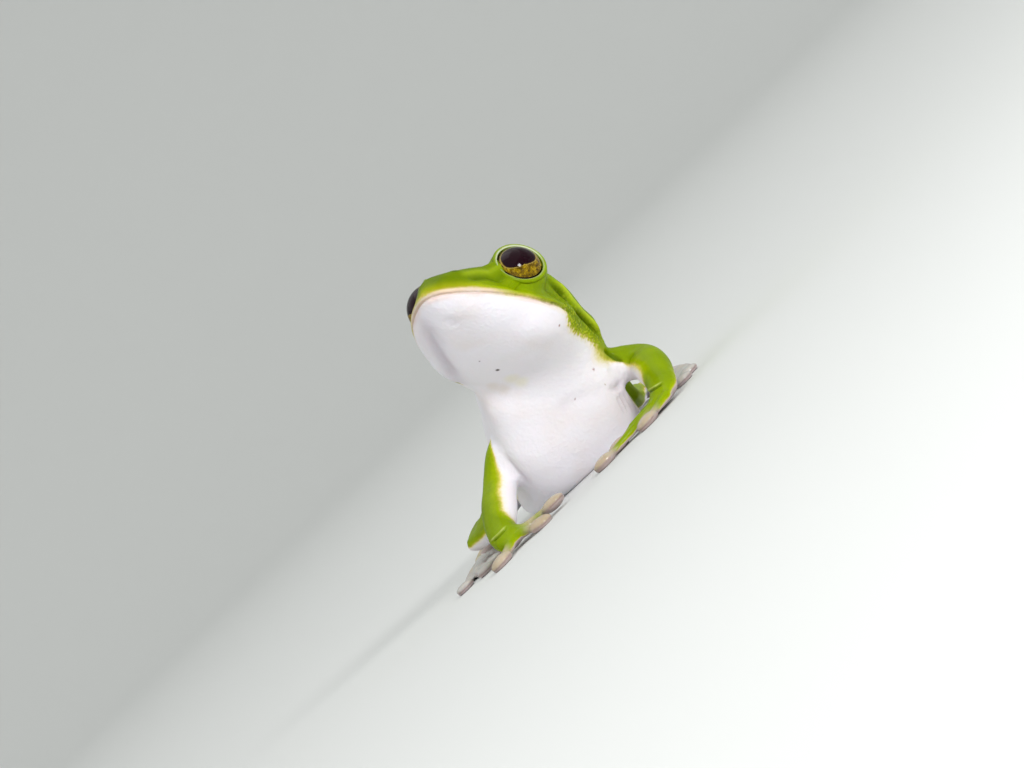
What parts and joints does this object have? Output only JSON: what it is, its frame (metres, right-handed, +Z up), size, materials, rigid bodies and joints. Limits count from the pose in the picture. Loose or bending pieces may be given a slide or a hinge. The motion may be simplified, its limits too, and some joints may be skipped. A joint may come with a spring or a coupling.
{
  "type": "okinawa green tree frog",
  "caption": "Still, life-size green tree frog that sits up on its hands with its head raised and turned, for display.",
  "frame": {"origin": "middle of the floor under the frog, at the bottom centre of its box", "axes": "+Z up, the frog faces -Y, and its left side is towards +X"},
  "size_m": [0.0442, 0.054, 0.0336],
  "materials": {
    "skin": "soft, slightly moist skin, green above and white below",
    "eye": "wet and glossy, golden iris round a dark pupil"
  },
  "bodies": {
    "root": {"head": "skin", "torso": "skin", "upper_arm_left": "skin", "upper_arm_right": "skin", "forearm_left": "skin", "forearm_right": "skin", "hand_left": "skin", "hand_right": "skin", "thigh_left": "skin", "thigh_right": "skin", "shank_left": "skin", "shank_right": "skin", "foot_left": "skin", "foot_right": "skin", "eye_left": "eye", "eye_right": "eye"}
  },
  "joints": []
}
